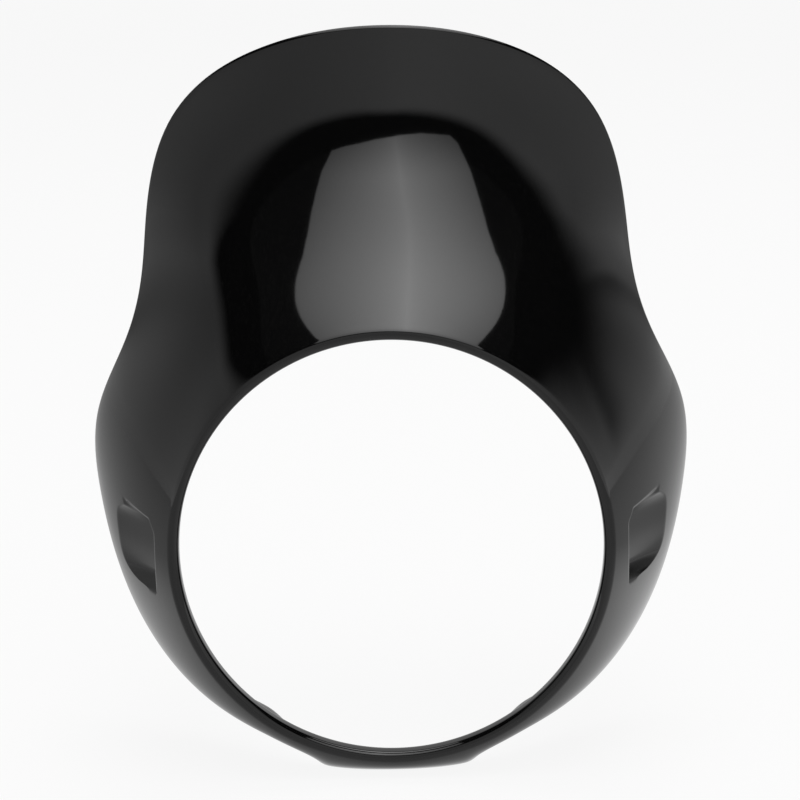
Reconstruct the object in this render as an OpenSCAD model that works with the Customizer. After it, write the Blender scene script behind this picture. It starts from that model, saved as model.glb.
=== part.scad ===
// Motorbike headlight cowl: one thin moulding with a round lamp opening.
// The origin is on the opening's axis, where the rolled lip meets the straight bore.
// The front faces -Y and up is +Z.
// The skin is a run of half-plane profiles, one at each angle round the opening.
// Each size named "at N" is a guide value N degrees round from straight up.

/* [Lamp opening] */
// Inside diameter of the lamp opening
opening_d = 160; // [140:1:190]
// Depth of the short collar behind the rolled lip
collar_depth = 8; // [6:0.5:14]
// Thickness of the collar
collar_wall = 2.5; // [1.5:0.1:4]
// Radius of the rolled lip
lip_r = 2.4; // [1.5:0.1:3.5]

/* [Shell] */
// Wall thickness of the moulding
wall = 3; // [2:0.1:4]

/* [Outline radius] */
// Middle of the visor, at 0
top_r = 186.5; // [150:0.5:230]
// Brow of the visor, at 15
brow_r = 185; // [150:0.5:230]
// Corner of the visor, at 30
corner_r = 176; // [140:0.5:220]
// Waist under the visor, at 45
waist_r = 130.5; // [105:0.5:160]
// Shoulder, at 60
shoulder_r = 119.5; // [100:0.5:150]
// Widest part of the side, at 75
widest_r = 124; // [105:0.5:150]
// Side level with the opening, at 90
side_r = 117.5; // [100:0.5:145]
// Side under the recess, at 105
flank_r = 114.5; // [98:0.5:140]
// Lower side, at 120
lower_r = 110.5; // [95:0.5:135]
// Curve in towards the chin, at 135
hip_r = 101.5; // [92:0.5:125]
// End of the side above the chin, at 150
heel_r = 86; // [82:0.5:105]
// Height of the flat underside of the chin below the opening's axis
chin_drop = 90; // [88:0.5:105]
// Distance of the slanted chin sides from the opening's axis
chin_slant = 90; // [88:0.5:105]
// Angle of the slanted chin sides from the flat
chin_angle = 35; // [20:1:40]

/* [Edge depth] */
// Middle of the visor, at 0
top_y = 86; // [60:1:120]
// Brow of the visor, at 15
brow_y = 94; // [60:1:125]
// Corner of the visor, at 30
corner_y = 103; // [70:1:135]
// Waist under the visor, at 45
waist_y = 100; // [70:1:130]
// Shoulder, at 60
shoulder_y = 99; // [70:1:130]
// Widest part of the side, at 75
widest_y = 108; // [70:1:140]
// Side level with the opening, at 90
side_y = 106; // [70:1:140]
// Side under the recess, at 105
flank_y = 100; // [65:1:130]
// Lower side, at 120
lower_y = 86; // [55:1:110]
// Curve in towards the chin, at 135
hip_y = 62; // [45:1:85]
// End of the side above the chin, at 150
heel_y = 32; // [22:1:45]
// Chin
chin_y = 13; // [11:0.5:20]

/* [Lean of the skin] */
// Lean back of the throat from upright at the lip, over the opening
throat_lean = 60; // [50:1:70]
// Lean of the skin at the lip, at the sides
side_lean = 60; // [45:1:70]
// Lean of the skin at the lip, at the chin
chin_lean = 35; // [25:1:50]
// Lean of the visor from upright at its top edge
brim_lean = 15; // [8:1:30]
// Turn of the side walls towards straight back at their rear edge
side_turn = 87; // [75:1:90]
// Turn of the chin at its rear edge
chin_turn = 67; // [50:1:80]

/* [Curve of the skin] */
// Length of the curve at the lip as a share of the profile, over the opening
throat_curve = 0.42; // [0.3:0.01:0.5]
// Length of the curve at the lip as a share of the profile, at the sides
side_curve = 0.28; // [0.2:0.01:0.4]
// Length of the flared brim as a share of the visor profile
brim_flare = 0.5; // [0.35:0.01:0.6]
// Length of the curve at the rear edge of the sides as a share of the profile
side_flare = 0.15; // [0.1:0.01:0.3]
// Length of either curve of the chin as a share of its profile
chin_curve = 0.38; // [0.3:0.01:0.45]

/* [Side recess] */
// Depth of the scooped recess in each side
recess_depth = 5.5; // [3:0.5:7]
// Middle of the recess, in degrees round from straight up
recess_angle = 93; // [86:0.5:98]
// Half height of the recess in degrees
recess_span = 8.75; // [6:0.25:12]
// Place of the sharp front crease, as a share of the side profile
recess_start = 0.12; // [0.1:0.01:0.2]
// Width of the recess, as a share of the side profile
recess_width = 0.42; // [0.25:0.01:0.45]

/* [Hidden] */
opening_r = opening_d / 2;
// Guide values every 15 degrees from straight up to straight down
guide_step = 15;
radii = [top_r, brow_r, corner_r, waist_r, shoulder_r, widest_r, side_r,
    flank_r, lower_r, hip_r, heel_r, chin_drop - 5, chin_drop - 7];
depths = [top_y, brow_y, corner_y, waist_y, shoulder_y, widest_y, side_y,
    flank_y, lower_y, hip_y, heel_y, chin_y + 1, chin_y - 1];
leans = [throat_lean, throat_lean + 1, throat_lean - 7, throat_lean - 9,
    side_lean - 1, side_lean - 1, side_lean, side_lean, side_lean - 4,
    side_lean - 11, chin_lean + 8, chin_lean + 3, chin_lean];
turns = [brim_lean, brim_lean + 1, brim_lean + 2, side_turn / 2, side_turn - 11,
    side_turn - 6, side_turn - 3, side_turn, side_turn, side_turn - 3,
    chin_turn + 11, chin_turn + 3, chin_turn - 1];
curves = [throat_curve, throat_curve - 0.06, throat_curve - 0.08,
    throat_curve - 0.08, side_curve + 0.02, side_curve - 0.02, side_curve,
    side_curve + 0.04, side_curve + 0.08, chin_curve, chin_curve, chin_curve,
    chin_curve];
flares = [brim_flare + 0.04, brim_flare - 0.04, brim_flare - 0.04,
    side_flare + 0.09, side_flare - 0.01, side_flare, side_flare + 0.05,
    side_flare + 0.09, side_flare + 0.13, side_flare + 0.17, chin_curve,
    chin_curve, chin_curve];
// Rounding between the side outline and the chin outline
chin_blend = 2;
// Rounding between the flat of the chin and its slanted sides
chin_round = 1.4;
// Angle past which the slanted chin sides no longer count
chin_reach = 75;
// Cut margin inside the opening, taken off by the exact bore
bore_skin = 1;
// Overshoot of the bore past the lip and the collar
bore_over = 5;
// Faces of the bore, the rolled lip, the rounded edge and the two skins
bore_faces = 180;
lip_steps = 6;
edge_steps = 3;
front_rows = 5;
floor_rows = 9;
rear_rows = 8;
inner_front_rows = 4;
inner_rear_rows = 11;

// Angles of the columns: close together over the recesses
quarter = concat(
    [for (a = [0:4.5:76.5]) a],
    [for (a = [79:1.5:91]) a],
    [for (a = [93:2:107]) a],
    [for (a = [110:3:128]) a],
    [for (a = [132:4:176]) a]);
last = len(quarter) - 1;
angles = concat(quarter, [180], [for (i = [last:-1:1]) 360 - quarter[i]]);
columns = len(angles);

// Angle from straight up, the same on both sides
function fold(a) = a > 180 ? 360 - a : a;
// Guide value at list place i, mirrored past either end
function guide(list, i) = list[i < 0 ? -i : i > len(list) - 1 ? 2 * (len(list) - 1) - i : i];
// Smooth run through the guide values
function smooth(list, a) =
    let (x = fold(a) / guide_step)
    let (i = min(floor(x), len(list) - 2))
    let (t = x - i)
    let (u = 1 - t)
    u * u * u / 6 * guide(list, i - 1)
    + (3 * t * t * t - 6 * t * t + 4) / 6 * guide(list, i)
    + (3 * u * u * u - 6 * u * u + 4) / 6 * guide(list, i + 1)
    + t * t * t / 6 * guide(list, i + 2);
// The larger of two values with a rounded change
function soft_max(a, b, k) = (a + b + sqrt((a - b) * (a - b) + k * k)) / 2;
function soft_min(a, b, k) = (a + b - sqrt((a - b) * (a - b) + k * k)) / 2;
// Smooth step from 0 to 1
function ease(t) = let (c = max(0, min(1, t))) c * c * (3 - 2 * c);

// Chin outline: a flat underside between two slanted sides
function chin_edge(a) =
    let (d = min(180 - fold(a), chin_reach))
    let (k = cos(d - chin_angle))
    soft_min(chin_drop / cos(d), d > chin_angle ? chin_slant * k : chin_slant / k, chin_round)
    + chin_round / 3;
function edge_r(a) = soft_max(smooth(radii, a), chin_edge(a), chin_blend);

// Start of the skin where it leaves the rolled lip
function lip_point(a, t) =
    let (turn = -90 + t * (90 + smooth(leans, a)))
    [opening_r + lip_r + lip_r * sin(turn), lip_r - lip_r * cos(turn)];
// Skin profile at angle a: radius and depth at share s of its length
function base_skin(a, s) =
    let (p = lip_point(a, 1))
    let (q = [edge_r(a), smooth(depths, a)])
    let (l = norm(q - p))
    let (lean = smooth(leans, a))
    let (turn = smooth(turns, a))
    let (b = p + smooth(curves, a) * l * [cos(lean), sin(lean)])
    let (c = q - smooth(flares, a) * l * [cos(turn), sin(turn)])
    let (u = 1 - s)
    u * u * u * p + 3 * u * u * s * b + 3 * u * s * s * c + s * s * s * q;
// Direction of the skin profile and its normal towards the inside
function along(a, s) =
    let (d = base_skin(a, min(1, s + 0.01)) - base_skin(a, max(0, s - 0.01)))
    d / norm(d);
function inward(a, s) = let (d = along(a, s)) [-d[1], d[0]];

// Place across the recess: 1 at its top, -1 at its foot
function recess_up(a) = (recess_angle - fold(a)) / recess_span;
// The crease runs straight down the side, with a small corner at its top
function crease(a) =
    let (upright = min(0.1, 1.8 * (1 / max(0.5, sin(fold(a))) - 1)))
    recess_start + upright + 0.04 * ease((recess_up(a) - 0.7) / 0.35);
// Share of the full depth: a sharp top border and a soft foot
function recess_height(a) =
    let (v = recess_up(a))
    ease((1.04 - v) / 0.18) * ease((v + 1.1) / 0.5);
// The same for the inside face, a little longer so that the wall keeps its thickness
function recess_backing(a) =
    let (v = recess_up(a))
    ease((1.4 - v) / 0.45) * ease((v + 1.35) / 0.6);
// The outer border of the recess curves in at both ends
function recess_reach(a) =
    let (v = max(-0.99, min(0.86, recess_up(a))))
    recess_width * sqrt(1 - v * v * v * v);
function recess_out(a, s) =
    let (t = (s - crease(a)) / recess_reach(a))
    t <= 0 || t >= 1 ? 0
    : recess_depth * recess_height(a) * min(1, t / 0.06) * (1 - t * t);
function recess_in(a, s) =
    let (t = (s - crease(a)) / recess_reach(a))
    recess_depth * recess_backing(a) * ease((t + 0.35) / 0.45) * ease((1.35 - t) / 1.25);

// Shares of the profile for the rows: one row lies on the crease
function row(a, i) =
    let (c = crease(a))
    let (e = c + recess_reach(a))
    i <= front_rows ? c * i / front_rows
    : i <= front_rows + floor_rows
    ? c + (e - c) * (0.06 + 0.94 * (i - front_rows - 1) / (floor_rows - 1))
    : e + (1 - e) * (i - front_rows - floor_rows) / rear_rows;
outer_rows = front_rows + floor_rows + rear_rows;
function outer(a, i) =
    let (s = row(a, i))
    base_skin(a, s) - [recess_out(a, s), 0];

// Share at which the inside face clears the collar
function clear_share(a) = 2.6 / norm(base_skin(a, 1) - base_skin(a, 0));
function inner_row(a, i) =
    let (c = max(crease(a), clear_share(a) + 0.05))
    let (f = clear_share(a))
    i <= inner_front_rows ? f + (c - f) * i / inner_front_rows
    : c + (1 - c) * (i - inner_front_rows) / inner_rear_rows;
inner_rows = inner_front_rows + inner_rear_rows;
function inner(a, i) =
    let (s = inner_row(a, i))
    let (p = base_skin(a, s) + wall * inward(a, s))
    [max(p[0] - recess_in(a, s), opening_r + collar_wall - 0.4), p[1]];

// One closed profile, in order from the collar round the lip and the skin and back
function profile(a) =
    let (back = outer(a, outer_rows))
    let (front = inner(a, inner_rows))
    let (mid = (back + front) / 2)
    let (half = (back - front) / 2)
    let (tip = along(a, 1) * wall / 2)
    let (first = inner(a, 0))
    let (lean = along(a, clear_share(a)))
    let (x = opening_r + collar_wall)
    concat(
        [[opening_r - bore_skin, collar_depth], [opening_r - bore_skin, lip_r + 1]],
        [for (k = [1:lip_steps]) lip_point(a, 0.12 + 0.88 * k / lip_steps)],
        [for (i = [1:outer_rows]) outer(a, i)],
        [for (k = [1:edge_steps]) mid + half * cos(180 * k / (edge_steps + 1))
            + tip * sin(180 * k / (edge_steps + 1))],
        [for (i = [inner_rows:-1:0]) inner(a, i)],
        [[x, first[1] - (first[0] - x) * lean[1] / lean[0]], [x, collar_depth]]);

// The origin is level with the end of the straight bore, so the lip stands in front of it
function place(a, p) = [p[0] * sin(a), p[1] - lip_r, p[0] * cos(a)];

module shell() {
    loops = [for (a = angles) profile(a)];
    n = len(loops[0]);
    points = [for (c = [0:columns - 1]) for (p = loops[c]) place(angles[c], p)];
    faces = [for (c = [0:columns - 1]) for (k = [0:n - 1])
        let (d = (c + 1) % columns)
        let (m = (k + 1) % n)
        each [[c * n + k, c * n + m, d * n + m], [c * n + k, d * n + m, d * n + k]]];
    polyhedron(points, faces, convexity = 12);
}

module cowl() {
    color("#141414")
    difference() {
        shell();
        rotate([-90, 0, 0])
            translate([0, 0, -lip_r - bore_over])
                cylinder(r = opening_r, h = collar_depth + 2 * bore_over, $fn = bore_faces);
    }
}

cowl();
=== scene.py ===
"""Looks of the headlight cowl: one gloss black moulding, its stage and its camera."""
import math

import bpy
import numpy as np
from mathutils import Matrix, Vector


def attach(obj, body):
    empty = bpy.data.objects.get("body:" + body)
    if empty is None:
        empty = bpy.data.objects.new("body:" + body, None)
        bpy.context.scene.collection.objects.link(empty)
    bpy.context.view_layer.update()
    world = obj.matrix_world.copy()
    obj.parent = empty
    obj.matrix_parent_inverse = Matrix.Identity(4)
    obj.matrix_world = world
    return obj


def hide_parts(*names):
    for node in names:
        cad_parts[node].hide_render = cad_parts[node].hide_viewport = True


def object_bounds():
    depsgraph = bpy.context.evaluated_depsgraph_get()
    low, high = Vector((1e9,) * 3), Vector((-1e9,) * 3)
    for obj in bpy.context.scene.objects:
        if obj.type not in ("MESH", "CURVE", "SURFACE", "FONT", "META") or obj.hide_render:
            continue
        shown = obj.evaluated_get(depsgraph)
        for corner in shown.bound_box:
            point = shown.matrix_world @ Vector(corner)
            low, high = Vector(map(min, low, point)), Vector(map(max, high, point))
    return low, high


bl_info = {
    "name": "Headlight cowl",
    "version": (1, 0, 0),
    "blender": (4, 5, 0),
    "location": "3D View > Sidebar > Cowl",
    "description": "Builds a gloss black motorbike headlight cowl and its stage",
    "category": "Object",
}

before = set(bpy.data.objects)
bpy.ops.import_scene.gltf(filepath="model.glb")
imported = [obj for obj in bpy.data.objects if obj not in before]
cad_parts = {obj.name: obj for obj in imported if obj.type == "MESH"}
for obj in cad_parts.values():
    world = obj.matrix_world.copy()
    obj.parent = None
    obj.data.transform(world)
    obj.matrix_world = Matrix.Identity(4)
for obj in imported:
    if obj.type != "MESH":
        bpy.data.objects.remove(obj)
CAD_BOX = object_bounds()

# Degrees between the guide values, and how many there are from straight up to straight down
GUIDE_STEP = 15.0
SIDES = 13
# Rounding between the side outline and the chin outline
CHIN_BLEND = 0.002
# Rounding between the flat of the chin and its slanted sides
CHIN_ROUND = 0.0014
# Angle from straight down past which the slanted chin sides no longer count
CHIN_REACH = 75.0
# Rows of points along each stretch of the profile
ROWS = {
    "collar": 3,
    "lip": 16,
    "front": 24,
    "crease": 10,
    "floor": 34,
    "rear": 40,
    "edge": 7,
    "inside": 58,
    "back": 3,
    "end": 6,
}


class CowlShape(bpy.types.PropertyGroup):
    """Sizes of the moulding"""
    opening: bpy.props.FloatProperty(
        name="Opening diameter", description="Inside diameter of the lamp opening",
        default=0.160, min=0.1, unit="LENGTH")
    collar: bpy.props.FloatProperty(
        name="Collar depth", description="Depth of the return wall behind the lip",
        default=0.008, min=0.004, unit="LENGTH")
    collar_wall: bpy.props.FloatProperty(
        name="Collar thickness", description="Thickness of the return wall",
        default=0.0025, min=0.001, unit="LENGTH")
    lip: bpy.props.FloatProperty(
        name="Lip radius", description="Radius of the rolled lip",
        default=0.0024, min=0.001, unit="LENGTH")
    wall: bpy.props.FloatProperty(
        name="Wall thickness", description="Thickness of the moulding",
        default=0.003, min=0.001, unit="LENGTH")
    radii: bpy.props.FloatVectorProperty(
        name="Outline radii", size=SIDES, unit="LENGTH",
        description="Guide radii of the outer edge, every 15 degrees from straight up to straight down",
        default=(0.1865, 0.185, 0.176, 0.1305, 0.1195, 0.124, 0.1175, 0.1145, 0.1105, 0.1015, 0.086,
                 0.085, 0.083))
    depths: bpy.props.FloatVectorProperty(
        name="Edge depths", size=SIDES, unit="LENGTH",
        description="Guide depths of the outer edge behind the lip, at the same angles",
        default=(0.086, 0.094, 0.103, 0.100, 0.099, 0.108, 0.106, 0.100, 0.086, 0.062, 0.032, 0.014, 0.012))
    leans: bpy.props.FloatVectorProperty(
        name="Lean at the lip", size=SIDES,
        description="Angle from upright at which the skin leaves the lip, in degrees",
        default=(60, 61, 53, 51, 59, 59, 60, 60, 56, 49, 43, 38, 35))
    turns: bpy.props.FloatVectorProperty(
        name="Lean at the edge", size=SIDES,
        description="Angle from upright at which the skin reaches its edge, in degrees",
        default=(15, 16, 17, 43.5, 76, 81, 84, 87, 87, 84, 78, 70, 66))
    curves: bpy.props.FloatVectorProperty(
        name="Curve length", size=SIDES,
        description="Length of the curve at the lip, as a share of the profile",
        default=(0.42, 0.36, 0.34, 0.34, 0.30, 0.26, 0.28, 0.32, 0.36, 0.38, 0.38, 0.38, 0.38))
    flares: bpy.props.FloatVectorProperty(
        name="Flare length", size=SIDES,
        description="Length of the curve at the edge, as a share of the profile",
        default=(0.54, 0.46, 0.46, 0.24, 0.14, 0.15, 0.20, 0.24, 0.28, 0.32, 0.38, 0.38, 0.38))
    chin_drop: bpy.props.FloatProperty(
        name="Chin drop", description="Height of the flat underside of the chin below the axis",
        default=0.090, unit="LENGTH")
    chin_slant: bpy.props.FloatProperty(
        name="Chin sides", description="Distance of the slanted chin sides from the axis",
        default=0.090, unit="LENGTH")
    chin_angle: bpy.props.FloatProperty(
        name="Chin angle", description="Angle of the slanted chin sides from the flat",
        default=math.radians(35), subtype="ANGLE")
    recess_depth: bpy.props.FloatProperty(
        name="Recess depth", description="Depth of the scooped recess in each side",
        default=0.0055, unit="LENGTH")
    recess_angle: bpy.props.FloatProperty(
        name="Recess place", description="Middle of the recess, in degrees from straight up",
        default=93)
    recess_span: bpy.props.FloatProperty(
        name="Recess height", description="Half height of the recess, in degrees",
        default=8.75)
    recess_start: bpy.props.FloatProperty(
        name="Recess crease", description="Place of the sharp crease, as a share of the profile",
        default=0.12, subtype="FACTOR")
    recess_width: bpy.props.FloatProperty(
        name="Recess width", description="Width of the recess, as a share of the profile",
        default=0.42, subtype="FACTOR")


class CowlLook(bpy.types.PropertyGroup):
    """Colours and surface of the moulding"""
    plastic: bpy.props.FloatVectorProperty(
        name="Plastic", description="Colour of the moulding", size=3, subtype="COLOR",
        default=(0.0022, 0.0022, 0.0023), min=0, max=1)
    roughness: bpy.props.FloatProperty(
        name="Roughness", description="Roughness of the polished skin",
        default=0.045, min=0, max=1, subtype="FACTOR")
    dust: bpy.props.FloatProperty(
        name="Dust", description="Amount of fine dust on faces that look up",
        default=0.010, min=0, max=1, subtype="FACTOR")


class CowlStage(bpy.types.PropertyGroup):
    """Stage, light and camera"""
    floor: bpy.props.FloatVectorProperty(
        name="Floor", description="Colour of the floor", size=3, subtype="COLOR",
        default=(0.82, 0.82, 0.82), min=0, max=1)
    walls: bpy.props.FloatProperty(
        name="Wall light", description="Brightness of the pale studio wall, as a share",
        default=1.0, min=0)
    wall_reach: bpy.props.FloatProperty(
        name="Wall reach", description="Distance of the round studio wall from the object",
        default=3.0, min=0.3, unit="LENGTH")
    box: bpy.props.FloatProperty(
        name="Overhead box", description="Brightness of the box light overhead, along its lamp",
        default=3.6, min=0)
    box_height: bpy.props.FloatProperty(
        name="Box height", description="Height of the box light above the object",
        default=1.6, min=0.8, unit="LENGTH")
    elevation: bpy.props.FloatProperty(
        name="Camera elevation", description="Angle of the camera above the lamp opening's axis",
        default=math.radians(15), subtype="ANGLE")
    side_step: bpy.props.FloatProperty(
        name="Camera side step", description="Angle of the camera round the object, to the right",
        default=math.radians(0.45), subtype="ANGLE")
    distance: bpy.props.FloatProperty(
        name="Camera distance", description="Distance of the camera from the lamp opening",
        default=1.3, unit="LENGTH")
    roll: bpy.props.FloatProperty(
        name="Camera roll", description="Slight turn of the picture",
        default=math.radians(1.4), subtype="ANGLE")


class Term:
    """A float socket or number that builds Math nodes when it is calculated with."""

    def __init__(self, tree, source):
        self.tree = tree
        self.source = source

    def _math(self, operation, *others):
        n = self.tree.nodes.new("ShaderNodeMath")
        n.operation = operation
        for slot, item in zip(n.inputs, (self, *others)):
            item = item.source if isinstance(item, Term) else item
            if isinstance(item, (int, float)):
                slot.default_value = item
            else:
                self.tree.links.new(item, slot)
        return Term(self.tree, n.outputs[0])

    def __add__(self, o):
        return self._math("ADD", o)

    def __sub__(self, o):
        return self._math("SUBTRACT", o)

    def __mul__(self, o):
        return self._math("MULTIPLY", o)

    def __truediv__(self, o):
        return self._math("DIVIDE", o)

    def __rsub__(self, o):
        return Term(self.tree, o)._math("SUBTRACT", self)

    def __pow__(self, o):
        return self._math("POWER", o)

    def sin(self):
        return self._math("SINE")

    def cos(self):
        return self._math("COSINE")

    def turn_from(self, o):
        return self._math("ARCTAN2", o)

    def root(self):
        return self._math("SQRT")

    def least(self, o):
        return self._math("MINIMUM", o)

    def most(self, o):
        return self._math("MAXIMUM", o)

    def size(self):
        return self._math("ABSOLUTE")

    def ease(self):
        c = self.most(0.0).least(1.0)
        return c * c * (3.0 - c * 2.0)


def fold(angle):
    """Angle from straight up, the same on either side. Angle in degrees."""
    return np.abs((angle + 180) % 360 - 180)


def smooth(guides, angle):
    """Smooth run through the guide values, mirrored past either end. Angle in degrees."""
    g = np.asarray(guides, float)
    last = len(g) - 1
    x = fold(angle) / GUIDE_STEP
    i = np.minimum(np.floor(x).astype(int), last - 1)
    t = x - i
    u = 1 - t

    def at(k):
        k = np.abs(k)
        return g[np.where(k > last, 2 * last - k, k)]

    return (u ** 3 * at(i - 1) + (3 * t ** 3 - 6 * t ** 2 + 4) * at(i)
            + (3 * u ** 3 - 6 * u ** 2 + 4) * at(i + 1) + t ** 3 * at(i + 2)) / 6


def soft_max(a, b, k):
    """The larger of two values, rounded over by k where they cross."""
    return (a + b + np.sqrt((a - b) ** 2 + k * k)) / 2


def soft_min(a, b, k):
    """The smaller of two values, rounded over by k where they cross."""
    return (a + b - np.sqrt((a - b) ** 2 + k * k)) / 2


def ease(t):
    """Soft step from 0 to 1."""
    c = np.clip(t, 0, 1)
    return c * c * (3 - 2 * c)


def edge_radius(shape, angle):
    """Outline of the moulding: the side outline with the flat chin blended in."""
    down = np.radians(np.minimum(180 - fold(angle), CHIN_REACH))
    k = np.cos(down - shape.chin_angle)
    slant = shape.chin_slant * np.where(down > shape.chin_angle, k, 1 / k)
    chin = soft_min(shape.chin_drop / np.cos(down), slant, CHIN_ROUND) + CHIN_ROUND / 3
    return soft_max(smooth(shape.radii, angle), chin, CHIN_BLEND)


def recess_up(shape, angle):
    """Place across the recess: 1 at its top, -1 at its foot."""
    return (shape.recess_angle - fold(angle)) / shape.recess_span


def crease(shape, angle):
    """Share of the profile at which the crease lies: upright, with a small corner at its top."""
    corner = 0.04
    steepness = 1.8
    most = 0.1
    v = recess_up(shape, angle)
    side = np.maximum(0.5, np.abs(np.sin(np.radians(angle))))
    upright = np.minimum(most, steepness * (1 / side - 1))
    return shape.recess_start + upright + corner * ease((v - 0.7) / 0.35)


def recess_height(shape, angle):
    """Share of the full depth: a sharp top border and a soft foot."""
    v = recess_up(shape, angle)
    return ease((1.04 - v) / 0.18) * ease((v + 1.1) / 0.5)


def recess_backing(shape, angle):
    """The same for the inside face, a little longer so that the wall keeps its thickness."""
    v = recess_up(shape, angle)
    return ease((1.4 - v) / 0.45) * ease((v + 1.35) / 0.6)


def recess_reach(shape, angle):
    """Width of the recess, curving in at both ends."""
    v = np.clip(recess_up(shape, angle), -0.99, 0.86)
    return shape.recess_width * np.sqrt(1 - v ** 4)


def column_angles():
    """Angles of the columns in degrees, close together over the recesses."""
    wide, close = 0.9, 0.4
    recess_top, recess_foot, bottom = 80, 106, 180
    half = np.concatenate([
        np.arange(0, recess_top, wide),
        np.arange(recess_top, recess_foot, close),
        np.arange(recess_foot, bottom - wide / 2, wide)])
    return np.concatenate([half, [bottom], 360 - half[:0:-1]])


def shares(first, last, count, include_last=False):
    """Evenly spaced shares from first, as columns."""
    steps = count if not include_last else count - 1
    t = np.arange(count) / max(steps, 1)
    return first[:, None] + (last - first)[:, None] * t[None, :]


def flat_sheet(shape, name):
    """The unrolled loop of rows and columns, with what each point needs stored on it."""
    angle = column_angles()
    columns = len(angle)
    zero = np.zeros(columns)
    one = np.ones(columns)
    c = crease(shape, angle)
    reach = recess_reach(shape, angle)
    # The inside skin stops this far short of the lip, on a profile of about this share of its sides
    collar_gap = 0.0028
    side_share = 0.72
    sides = edge_radius(shape, angle) - shape.opening / 2 + smooth(shape.depths, angle)
    clear = collar_gap / (sides * side_share)
    near = 0.07 * reach
    past = c + 1.05 * reach
    parts = [
        ("collar", shares(zero, one, ROWS["collar"])),
        ("lip", shares(zero, one, ROWS["lip"])),
        ("skin", np.concatenate([
            shares(zero, c - near, ROWS["front"]),
            shares(c - near, c + 2 * near, ROWS["crease"]),
            shares(c + 2 * near, past, ROWS["floor"]),
            shares(past, one, ROWS["rear"], True)], 1)),
        ("edge", shares(one / (ROWS["edge"] + 1), one, ROWS["edge"])),
        ("inside", shares(one, clear, ROWS["inside"], True)),
        ("back", shares(one / ROWS["back"], one, ROWS["back"])),
        ("end", shares(zero, one, ROWS["end"])),
    ]
    rows = sum(p.shape[1] for _, p in parts)
    along = np.concatenate([p for _, p in parts], 1)
    store = {"along": along, "clear": np.repeat(clear[:, None], rows, 1)}
    at = 0
    for part, p in parts:
        mask = np.zeros((columns, rows))
        mask[:, at:at + p.shape[1]] = 1
        store["on_" + part] = mask
        at += p.shape[1]
    column = {
        "angle": np.radians(angle),
        "lean": np.radians(smooth(shape.leans, angle)),
        "turn": np.radians(smooth(shape.turns, angle)),
        "curve": smooth(shape.curves, angle),
        "flare": smooth(shape.flares, angle),
        "edge_r": edge_radius(shape, angle),
        "edge_y": smooth(shape.depths, angle),
        "crease": c,
        "reach": reach,
        "scoop": recess_height(shape, angle),
        "backing": recess_backing(shape, angle),
    }
    for key, values in column.items():
        store[key] = np.repeat(values[:, None], rows, 1)
    col, row = np.meshgrid(np.arange(columns), np.arange(rows), indexing="ij")
    sheet_step = 0.001
    points = np.stack([col, row, col * 0], -1).reshape(-1, 3) * sheet_step
    a = col * rows + row
    b = (col + 1) % columns * rows + row
    d = col * rows + (row + 1) % rows
    e = (col + 1) % columns * rows + (row + 1) % rows
    faces = np.stack([a, b, e, d], -1).reshape(-1, 4)
    mesh = bpy.data.meshes.new(name)
    mesh.from_pydata(points.tolist(), [], faces.tolist())
    for key, values in store.items():
        layer = mesh.attributes.new(key, "FLOAT", "POINT")
        layer.data.foreach_set("value", values.reshape(-1).astype(np.float32))
    return mesh


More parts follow.
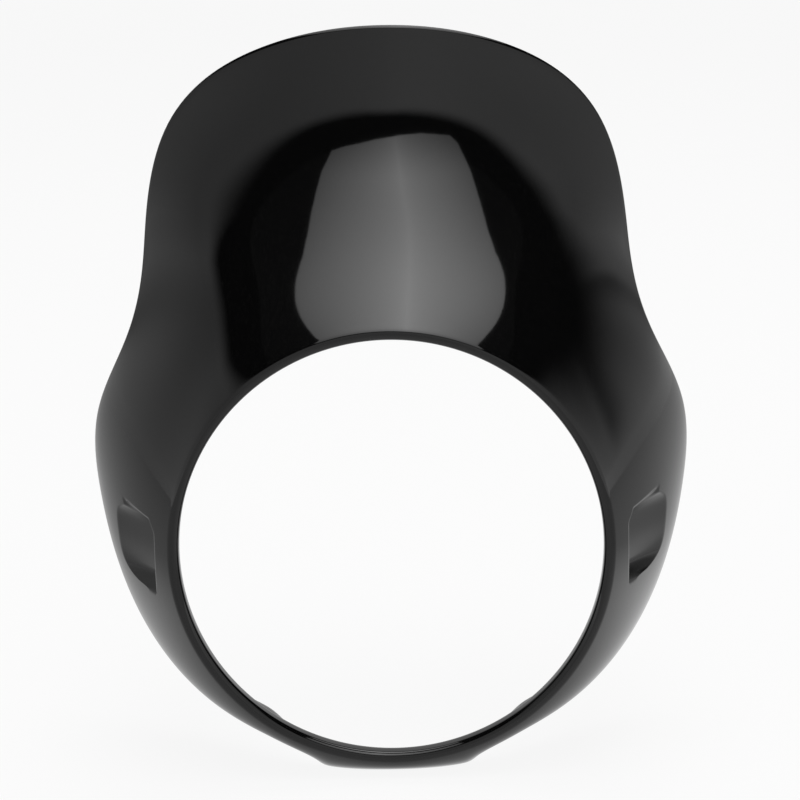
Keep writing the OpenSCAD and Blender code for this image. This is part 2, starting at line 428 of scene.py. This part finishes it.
def rolled_shell_tree():
    """Geometry Nodes that roll the flat sheet into the moulding round the opening."""
    tree = bpy.data.node_groups.new("Rolled shell", "GeometryNodeTree")
    face = tree.interface
    face.new_socket("Geometry", in_out="INPUT", socket_type="NodeSocketGeometry")
    sizes = ("Opening radius", "Lip radius", "Wall", "Collar depth", "Collar wall", "Recess depth")
    for label in sizes:
        face.new_socket(label, in_out="INPUT", socket_type="NodeSocketFloat")
    face.new_socket("Material", in_out="INPUT", socket_type="NodeSocketMaterial")
    face.new_socket("Geometry", in_out="OUTPUT", socket_type="NodeSocketGeometry")
    given = tree.nodes.new("NodeGroupInput")
    result = tree.nodes.new("NodeGroupOutput")

    def stored(label):
        n = tree.nodes.new("GeometryNodeInputNamedAttribute")
        n.data_type = "FLOAT"
        n.inputs["Name"].default_value = label
        return Term(tree, n.outputs["Attribute"])

    r0, lip, wall, depth, thick, scoop_depth = (
        Term(tree, given.outputs[label]) for label in sizes)
    along, lean, turn = stored("along"), stored("lean"), stored("turn")
    angle, curve, flare = stored("angle"), stored("curve"), stored("flare")
    on = {k: stored("on_" + k) for k in ("collar", "lip", "skin", "edge", "inside", "back", "end")}
    quarter = math.pi / 2

    # Rolled lip
    sweep = along * (lean + quarter) - quarter
    lip_r = r0 + lip + lip * sweep.sin()
    lip_y = lip - lip * sweep.cos()

    # Skin profile from the lip to the edge
    s = (along * (on["skin"] + on["inside"]) + on["edge"]) + stored("clear") * on["back"]
    u = 1.0 - s
    start = (r0 + lip + lip * lean.sin(), lip - lip * lean.cos())
    stop = (stored("edge_r"), stored("edge_y"))
    span = ((stop[0] - start[0]) ** 2.0 + (stop[1] - start[1]) ** 2.0).root()
    bend = (start[0] + curve * span * lean.cos(), start[1] + curve * span * lean.sin())
    end = (stop[0] - flare * span * turn.cos(), stop[1] - flare * span * turn.sin())
    uu, ss, us = u * u, s * s, u * s
    base, slope = [], []
    for p, b, c, q in zip(start, bend, end, stop):
        base.append(uu * u * p + us * u * 3.0 * b + us * s * 3.0 * c + ss * s * q)
        slope.append(uu * (b - p) + us * 2.0 * (c - b) + ss * (q - c))
    size = (slope[0] * slope[0] + slope[1] * slope[1]).root()
    way = (slope[0] / size, slope[1] / size)
    inward = (way[1] * -1.0, way[0])

    # Scooped recess behind its crease, with a longer and softer dent behind it inside
    t = (s - stored("crease")) / stored("reach")
    drop_share = 0.06
    out = scoop_depth * stored("scoop") * (t / drop_share).ease() * (1.0 - t * t).most(0.0)
    dent = scoop_depth * stored("backing") * ((t + 0.35) / 0.45).ease() * ((1.35 - t) / 1.25).ease()
    skin = (base[0] - out, base[1])
    tuck = 0.0004
    inside = ((base[0] + wall * inward[0] - dent).most(r0 + thick - tuck),
              base[1] + wall * inward[1])

    # Rounded edge, and the step back onto the collar
    half = wall * 0.5
    round_turn = along * math.pi
    edge = tuple(base[k] + inward[k] * half - inward[k] * half * round_turn.cos()
                 + way[k] * half * round_turn.sin() for k in (0, 1))
    back_r = r0 + thick
    back_from = inside[1] - (inside[0] - back_r) * way[1] / way[0]
    back_y = back_from + (depth - thick * 0.5 - back_from) * along
    end_r = r0 + thick * 0.5 + thick * 0.5 * round_turn.cos()
    end_y = depth - thick * 0.5 + thick * 0.5 * round_turn.sin()
    collar_y = depth - thick * 0.5 + (lip - depth + thick * 0.5) * along

    r = (on["collar"] * r0 + on["lip"] * lip_r + on["skin"] * skin[0] + on["edge"] * edge[0]
         + on["inside"] * inside[0] + on["back"] * back_r + on["end"] * end_r)
    y = (on["collar"] * collar_y + on["lip"] * lip_y + on["skin"] * skin[1] + on["edge"] * edge[1]
         + on["inside"] * inside[1] + on["back"] * back_y + on["end"] * end_y)
    place = tree.nodes.new("ShaderNodeCombineXYZ")
    tree.links.new((r * angle.sin()).source, place.inputs[0])
    tree.links.new((y - lip).source, place.inputs[1])
    tree.links.new((r * angle.cos()).source, place.inputs[2])
    put = tree.nodes.new("GeometryNodeSetPosition")
    tree.links.new(given.outputs["Geometry"], put.inputs["Geometry"])
    tree.links.new(place.outputs[0], put.inputs["Position"])
    shade = tree.nodes.new("GeometryNodeSetShadeSmooth")
    real = tree.nodes.new("GeometryNodeRealizeInstances")
    paint = tree.nodes.new("GeometryNodeSetMaterial")
    tree.links.new(put.outputs[0], shade.inputs[0])
    tree.links.new(shade.outputs[0], real.inputs[0])
    tree.links.new(real.outputs[0], paint.inputs["Geometry"])
    tree.links.new(given.outputs["Material"], paint.inputs["Material"])
    tree.links.new(paint.outputs[0], result.inputs[0])
    return tree


def node(tree, kind, **settings):
    """A new node with its settings."""
    n = tree.nodes.new(kind)
    for key, value in settings.items():
        setattr(n, key, value)
    return n


def skin_group():
    """Shared surface group: slight orange peel, wipe marks and dust on upward faces."""
    tree = bpy.data.node_groups.new("Moulded skin", "ShaderNodeTree")
    face = tree.interface
    for label, value in (("Peel scale", 160.0), ("Wipe scale", 9.0), ("Base roughness", 0.05)):
        item = face.new_socket(label, in_out="INPUT", socket_type="NodeSocketFloat")
        item.default_value = value
    for label in ("Height", "Roughness", "Dust"):
        face.new_socket(label, in_out="OUTPUT", socket_type="NodeSocketFloat")
    given = node(tree, "NodeGroupInput")
    result = node(tree, "NodeGroupOutput")
    coords = node(tree, "ShaderNodeTexCoord")
    peel = node(tree, "ShaderNodeTexNoise")
    peel.inputs["Detail"].default_value = 2.0
    tree.links.new(coords.outputs["Object"], peel.inputs["Vector"])
    tree.links.new(given.outputs["Peel scale"], peel.inputs["Scale"])
    tree.links.new(peel.outputs[0], result.inputs["Height"])
    wipe = node(tree, "ShaderNodeTexNoise")
    wipe.inputs["Detail"].default_value = 6.0
    wipe.inputs["Roughness"].default_value = 0.65
    tree.links.new(coords.outputs["Object"], wipe.inputs["Vector"])
    tree.links.new(given.outputs["Wipe scale"], wipe.inputs["Scale"])
    spread = node(tree, "ShaderNodeMapRange")
    spread.inputs["From Min"].default_value = 0.35
    spread.inputs["From Max"].default_value = 0.75
    spread.inputs["To Min"].default_value = 0.0
    spread.inputs["To Max"].default_value = 0.025
    tree.links.new(wipe.outputs[0], spread.inputs["Value"])
    total = Term(tree, spread.outputs[0]) + Term(tree, given.outputs["Base roughness"])
    tree.links.new(total.source, result.inputs["Roughness"])
    normal = node(tree, "ShaderNodeSeparateXYZ")
    tree.links.new(coords.outputs["Normal"], normal.inputs[0])
    fine = node(tree, "ShaderNodeTexNoise")
    fine.inputs["Scale"].default_value = 900.0
    fine.inputs["Detail"].default_value = 3.0
    tree.links.new(coords.outputs["Object"], fine.inputs["Vector"])
    up = Term(tree, normal.outputs[2]).most(0.0)
    specks = ((Term(tree, fine.outputs[0]) - 0.52) * 6.0).ease()
    tree.links.new((up * specks).source, result.inputs["Dust"])
    return tree


def gloss_black(look):
    """Polished black plastic with a little dust and a faint orange peel."""
    mat = bpy.data.materials.new("gloss_black")
    mat.use_nodes = True
    tree = mat.node_tree
    shader = tree.nodes["Principled BSDF"]
    skin = node(tree, "ShaderNodeGroup", node_tree=skin_group())
    skin.inputs["Base roughness"].default_value = look.roughness
    bump = node(tree, "ShaderNodeBump")
    bump.inputs["Strength"].default_value = 0.02
    bump.inputs["Distance"].default_value = 0.0002
    tree.links.new(skin.outputs["Height"], bump.inputs["Height"])
    tree.links.new(bump.outputs[0], shader.inputs["Normal"])
    tree.links.new(skin.outputs["Roughness"], shader.inputs["Roughness"])
    colour = node(tree, "ShaderNodeMix", data_type="RGBA")
    colour.inputs["A"].default_value = (*look.plastic, 1)
    colour.inputs["B"].default_value = (0.30, 0.29, 0.27, 1)
    amount = Term(tree, skin.outputs["Dust"]) * look.dust
    tree.links.new(amount.source, colour.inputs["Factor"])
    tree.links.new(colour.outputs["Result"], shader.inputs["Base Color"])
    shader.inputs["IOR"].default_value = 1.5
    return mat


def outward(mesh):
    """Turns the faces round if they look inwards, and gives the volume in cubic metres."""
    n = len(mesh.polygons)
    centre = np.zeros(n * 3)
    normal = np.zeros(n * 3)
    area = np.zeros(n)
    mesh.polygons.foreach_get("center", centre)
    mesh.polygons.foreach_get("normal", normal)
    mesh.polygons.foreach_get("area", area)
    volume = (centre.reshape(-1, 3) * normal.reshape(-1, 3)).sum(1) @ area / 3
    if volume < 0:
        mesh.flip_normals()
    return abs(volume)


class COWL_OT_shell(bpy.types.Operator):
    """Builds the moulding"""
    bl_idname = "cowl.shell"
    bl_label = "Moulding"

    def execute(self, context):
        shape = context.scene.cowl_shape
        sheet = bpy.data.objects.new("cowl_sheet", flat_sheet(shape, "cowl_sheet"))
        context.scene.collection.objects.link(sheet)
        tree = rolled_shell_tree()
        mod = sheet.modifiers.new("Rolled shell", "NODES")
        mod.node_group = tree
        given = {
            "Opening radius": shape.opening / 2,
            "Lip radius": shape.lip,
            "Wall": shape.wall,
            "Collar depth": shape.collar,
            "Collar wall": shape.collar_wall,
            "Recess depth": shape.recess_depth,
            "Material": gloss_black(context.scene.cowl_look),
        }
        for item in tree.interface.items_tree:
            if item.in_out == "INPUT" and item.name in given:
                mod[item.identifier] = given[item.name]
        graph = context.evaluated_depsgraph_get()
        mesh = bpy.data.meshes.new_from_object(sheet.evaluated_get(graph), depsgraph=graph)
        bpy.data.objects.remove(sheet)
        for label in [a.name for a in mesh.attributes if a.domain == "POINT" and a.name != "position"]:
            mesh.attributes.remove(mesh.attributes[label])
        if outward(mesh) < 1e-5:
            raise RuntimeError("the moulding came out without volume")
        piece = bpy.data.objects.new("cowl_moulding", mesh)
        context.scene.collection.objects.link(piece)
        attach(piece, "root")
        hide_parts("cowl")
        return {"FINISHED"}


def lamp_object(name, points, faces):
    """A studio surface that glows and that the camera doesn't see, with its coordinates as Terms."""
    mesh = bpy.data.meshes.new(name)
    mesh.from_pydata(points, [], faces)
    lamp = bpy.data.objects.new(name, mesh)
    lamp.visible_camera = False
    lamp.visible_shadow = False
    bpy.context.scene.collection.objects.link(lamp)
    mat = bpy.data.materials.new(name)
    mat.use_nodes = True
    tree = mat.node_tree
    tree.nodes.clear()
    out = node(tree, "ShaderNodeOutputMaterial")
    glow = node(tree, "ShaderNodeEmission")
    tree.links.new(glow.outputs[0], out.inputs["Surface"])
    where = node(tree, "ShaderNodeTexCoord")
    split = node(tree, "ShaderNodeSeparateXYZ")
    tree.links.new(where.outputs["Object"], split.inputs[0])
    mesh.materials.append(mat)
    return lamp, glow, [Term(tree, s) for s in split.outputs]


def level_round(tree, angle, stops):
    """Light level by the angle round the object: stops are (degrees from the front, level)."""
    ramp = node(tree, "ShaderNodeValToRGB")
    ramp.color_ramp.interpolation = "CARDINAL"
    marks = ramp.color_ramp.elements
    while len(marks) < len(stops):
        marks.new(0.5)
    for mark, (degrees, level) in zip(marks, stops):
        mark.position = (degrees + 180) / 360
        mark.color = (level, level, level, 1)
    tree.links.new((angle / (2 * math.pi) + 0.5).source, ramp.inputs[0])
    return Term(tree, ramp.outputs[0])


def studio_wall(reach, level):
    """Far pale wall all round, with an upper rim that is sharp in front and soft at the sides."""
    steps = 95
    turn = np.radians(np.linspace(-180, 180, steps + 1))
    ring = np.stack([reach * np.sin(turn), -reach * np.cos(turn)], -1)
    foot, top = CAD_BOX[0][2], reach * 1.2
    points = [(x, y, z) for z in (foot, top) for x, y in ring]
    faces = [(i, i + 1, steps + 2 + i, steps + 1 + i) for i in range(steps)]
    wall, glow, (x, y, z) = lamp_object("studio_wall", points, faces)
    tree = wall.data.materials[0].node_tree
    angle = x.turn_from(y * -1.0)
    # Light at the foot of the wall and at its top
    low_level = level_round(tree, angle, (
        (-180, 0.55), (-155, 0.48), (-135, 0.25), (-115, 0.58), (-95, 0.92), (-75, 1.30), (-60, 1.25),
        (-30, 0.62), (0, 0.57), (30, 0.75), (60, 1.55), (75, 1.70), (95, 1.30), (115, 0.78), (135, 0.36),
        (155, 0.68), (180, 0.55)))
    top_level = level_round(tree, angle, (
        (-180, 0.40), (-135, 0.18), (-115, 0.38), (-85, 0.46), (-35, 0.52), (0, 0.66), (20, 0.72),
        (45, 0.64), (75, 0.62), (105, 0.42), (125, 0.14), (150, 0.30), (180, 0.40)))
    # Height of the rim and its softness, as shares of the distance
    rim = level_round(tree, angle, (
        (-180, 0.60), (-115, 0.69), (-95, 0.825), (-75, 0.825), (-50, 0.79), (-10, 0.865), (10, 0.865),
        (45, 0.78), (75, 0.82), (95, 0.72), (115, 0.435), (135, 0.19), (150, 0.16), (180, 0.60)))
    soft = level_round(tree, angle, (
        (-180, 0.12), (-110, 0.10), (-85, 0.19), (-45, 0.08), (-20, 0.05), (20, 0.05), (65, 0.10),
        (95, 0.19), (115, 0.26), (135, 0.13), (180, 0.12)))
    share = z / reach
    lit = ((rim - share) / (soft * 2.0) + 0.5).ease()
    rise_from = 0.027
    rise = ((share - rise_from).most(0.0) * 2.0).least(1.0).root()
    # Soft dark gap in the wall, behind and to the right: its sides in degrees, each with its softness
    near_side, near_soft = 123.0, 6.0
    far_side, far_soft = 139.0, 10.0
    gap_foot, foot_soft = 0.02, 0.12
    darkness = 0.55
    degrees = angle * (180 / math.pi)
    gap = ((degrees - near_side) / near_soft).ease() * ((far_side - degrees) / far_soft).ease()
    gap = gap * ((share - gap_foot) / foot_soft).ease()
    total = (low_level + (top_level - low_level) * rise) * lit * (1.0 - gap * darkness) * level
    tree.links.new(total.source, glow.inputs["Strength"])
    return wall


def overhead_box(high, level):
    """Box light overhead, brightest along its lamp and falling off towards its front edge."""
    # Corners seen from above, as shares of the height: the bowed front edge comes first
    outline = ((-0.43, -0.66), (-0.33, -0.715), (-0.08, -0.795), (0.15, -0.83), (0.33, -0.835),
               (0.58, -0.79), (0.615, -0.70), (0.61, -0.41), (0.58, -0.12), (0.55, 0.14), (0.55, 0.30),
               (0.58, 0.45), (0.58, 1.0), (-0.425, 1.0), (-0.425, 0.40), (-0.40, 0.25), (-0.40, 0.08),
               (-0.42, -0.17), (-0.445, -0.45))
    points = [(x * high, y * high, high) for x, y in outline]
    box, glow, (x, y, _) = lamp_object("overhead_box", points, [tuple(reversed(range(len(points))))])
    # The lamp runs from front to back, and the light falls off to both sides and to the front
    lamp_place = 0.106
    side_fall, fall_bend = 1.1, 0.75
    front_from, front_slope, front_fall = 0.35, -1.7, 0.5
    sideways = (x / high - lamp_place).size() ** fall_bend * side_fall
    front = ((y / high + front_from) * front_slope).ease() * front_fall
    tree = box.data.materials[0].node_tree
    tree.links.new(((1.0 - sideways) * (1.0 - front) * level).source, glow.inputs["Strength"])
    return box


class COWL_OT_stage(bpy.types.Operator):
    """Builds the floor, the studio light and the camera"""
    bl_idname = "cowl.stage"
    bl_label = "Stage"

    def execute(self, context):
        stage = context.scene.cowl_stage
        scene = context.scene
        scene.view_settings.view_transform = "Standard"
        low = CAD_BOX[0][2]
        half = 30.0
        mesh = bpy.data.meshes.new("floor")
        corners = [(-half, -half, low), (half, -half, low), (half, half, low), (-half, half, low)]
        mesh.from_pydata(corners, [], [(0, 1, 2, 3)])
        floor = bpy.data.objects.new("floor", mesh)
        scene.collection.objects.link(floor)
        mesh.materials.append(self.floor_material(stage))
        wall = studio_wall(stage.wall_reach, stage.walls)
        box = overhead_box(stage.box_height, stage.box)
        self.world(scene)
        self.camera(scene, stage)
        return {"FINISHED"}

    def floor_material(self, stage):
        """Pale floor that shows white to the camera and a painted level of light and shade to reflections,
        and keeps a shadow.
        """
        mat = bpy.data.materials.new("floor")
        mat.use_nodes = True
        tree = mat.node_tree
        tree.nodes.clear()
        out = node(tree, "ShaderNodeOutputMaterial")
        matte = node(tree, "ShaderNodeBsdfDiffuse")
        matte.inputs["Color"].default_value = (*stage.floor, 1)
        glow = node(tree, "ShaderNodeEmission")
        path = node(tree, "ShaderNodeLightPath")
        mirrored = Term(tree, path.outputs["Is Glossy Ray"])
        seen = Term(tree, path.outputs["Is Camera Ray"]).most(mirrored)
        where = node(tree, "ShaderNodeTexCoord")
        split = node(tree, "ShaderNodeSeparateXYZ")
        tree.links.new(where.outputs["Object"], split.inputs[0])
        x, y = Term(tree, split.outputs[0]), Term(tree, split.outputs[1])
        # Painted shade in reflections: far out, the floor's level goes by the angle round the object and is
        # lower behind it, standing in for its shade
        far_painted_level = level_round(tree, x.turn_from(y * -1.0), (
            (-180, 0.50), (-155, 0.47), (-135, 0.24), (-110, 0.45), (-90, 0.60), (90, 0.60), (110, 0.55),
            (135, 0.33), (155, 0.62), (180, 0.50)))
        # Painted light in reflections: close round the object the floor is paler, more so to the right
        near_middle, near_slope = 0.70, 0.6
        near_end, near_soft = 0.42, 0.22
        near_painted_level = x * near_slope + near_middle
        near = ((near_end - (x * x + y * y).root()) / near_soft).ease()
        painted_reflection_level = far_painted_level + (near_painted_level - far_painted_level) * near
        tree.links.new((1.0 - mirrored * (1.0 - painted_reflection_level)).source, glow.inputs["Strength"])
        # The rest of the floor's look is its matte colour, which carries the shadow
        glow_share = 0.9
        mix = node(tree, "ShaderNodeMixShader")
        tree.links.new((seen * glow_share).source, mix.inputs[0])
        tree.links.new(matte.outputs[0], mix.inputs[1])
        tree.links.new(glow.outputs[0], mix.inputs[2])
        tree.links.new(mix.outputs[0], out.inputs["Surface"])
        return mat

    def world(self, scene):
        """White behind everything to the camera, and nearly dark to the object."""
        dim = 0.02
        world = bpy.data.worlds.new("studio")
        scene.world = world
        world.use_nodes = True
        tree = world.node_tree
        ground = tree.nodes["Background"]
        path = node(tree, "ShaderNodeLightPath")
        level = Term(tree, path.outputs["Is Camera Ray"]) * (1 - dim) + dim
        ground.inputs["Color"].default_value = (1, 1, 1, 1)
        tree.links.new(level.source, ground.inputs["Strength"])

    def camera(self, scene, stage):
        """Camera turned so that the lamp opening falls where the photograph has it."""
        # Picture side and opening centre in pixels, a pixel's size at the opening, sensor in millimetres
        side = 800
        opening = (391.5, 550.0)
        per_pixel = 0.0003756
        sensor = 36
        at = [(opening[0] - side / 2) * per_pixel / stage.distance,
              (side / 2 - opening[1]) * per_pixel / stage.distance]
        c, s = math.cos(stage.roll), math.sin(stage.roll)
        x, y = at[0] * c + at[1] * s, at[1] * c - at[0] * s
        e, a = stage.elevation, stage.side_step
        seat = Vector((math.sin(a) * math.cos(e), -math.cos(a) * math.cos(e), math.sin(e))) * stage.distance
        ahead = -seat.normalized()
        seat.y -= scene.cowl_shape.lip
        right = ahead.cross(Vector((0, 0, 1))).normalized()
        up = right.cross(ahead)
        tilt, pan = math.atan(y), math.atan(x)
        ahead = ahead * math.cos(tilt) - up * math.sin(tilt)
        up = right.cross(ahead)
        ahead = ahead * math.cos(pan) - right * math.sin(pan)
        right = ahead.cross(up).normalized()
        up = right.cross(ahead)
        turned = right * c - up * s
        up = up * c + right * s
        cam = bpy.data.objects.new("camera", bpy.data.cameras.new("camera"))
        scene.collection.objects.link(cam)
        cam.matrix_world = Matrix((
            (turned.x, up.x, -ahead.x, seat.x),
            (turned.y, up.y, -ahead.y, seat.y),
            (turned.z, up.z, -ahead.z, seat.z),
            (0, 0, 0, 1)))
        cam.data.sensor_width = sensor
        cam.data.lens = stage.distance / per_pixel * sensor / side
        cam.data.clip_end = 100
        scene.camera = cam


class COWL_PT_panel(bpy.types.Panel):
    """Lists the steps that build the cowl"""
    bl_idname = "COWL_PT_panel"
    bl_label = "Cowl"
    bl_space_type = "VIEW_3D"
    bl_region_type = "UI"
    bl_category = "Cowl"

    def draw(self, context):
        layout = self.layout
        for group in ("cowl_shape", "cowl_look", "cowl_stage"):
            item = getattr(context.scene, group)
            box = layout.box()
            for prop in item.bl_rna.properties:
                if prop.identifier not in ("rna_type", "name"):
                    box.prop(item, prop.identifier)
        layout.operator(COWL_OT_shell.bl_idname)
        layout.operator(COWL_OT_stage.bl_idname)


CLASSES = (CowlShape, CowlLook, CowlStage, COWL_OT_shell, COWL_OT_stage, COWL_PT_panel)


def register():
    for cls in CLASSES:
        bpy.utils.register_class(cls)
    bpy.types.Scene.cowl_shape = bpy.props.PointerProperty(type=CowlShape)
    bpy.types.Scene.cowl_look = bpy.props.PointerProperty(type=CowlLook)
    bpy.types.Scene.cowl_stage = bpy.props.PointerProperty(type=CowlStage)


def unregister():
    for name in ("cowl_shape", "cowl_look", "cowl_stage"):
        delattr(bpy.types.Scene, name)
    for cls in reversed(CLASSES):
        bpy.utils.unregister_class(cls)


def main():
    register()
    bpy.ops.cowl.shell()
    bpy.ops.cowl.stage()


if __name__ == "__main__":
    main()
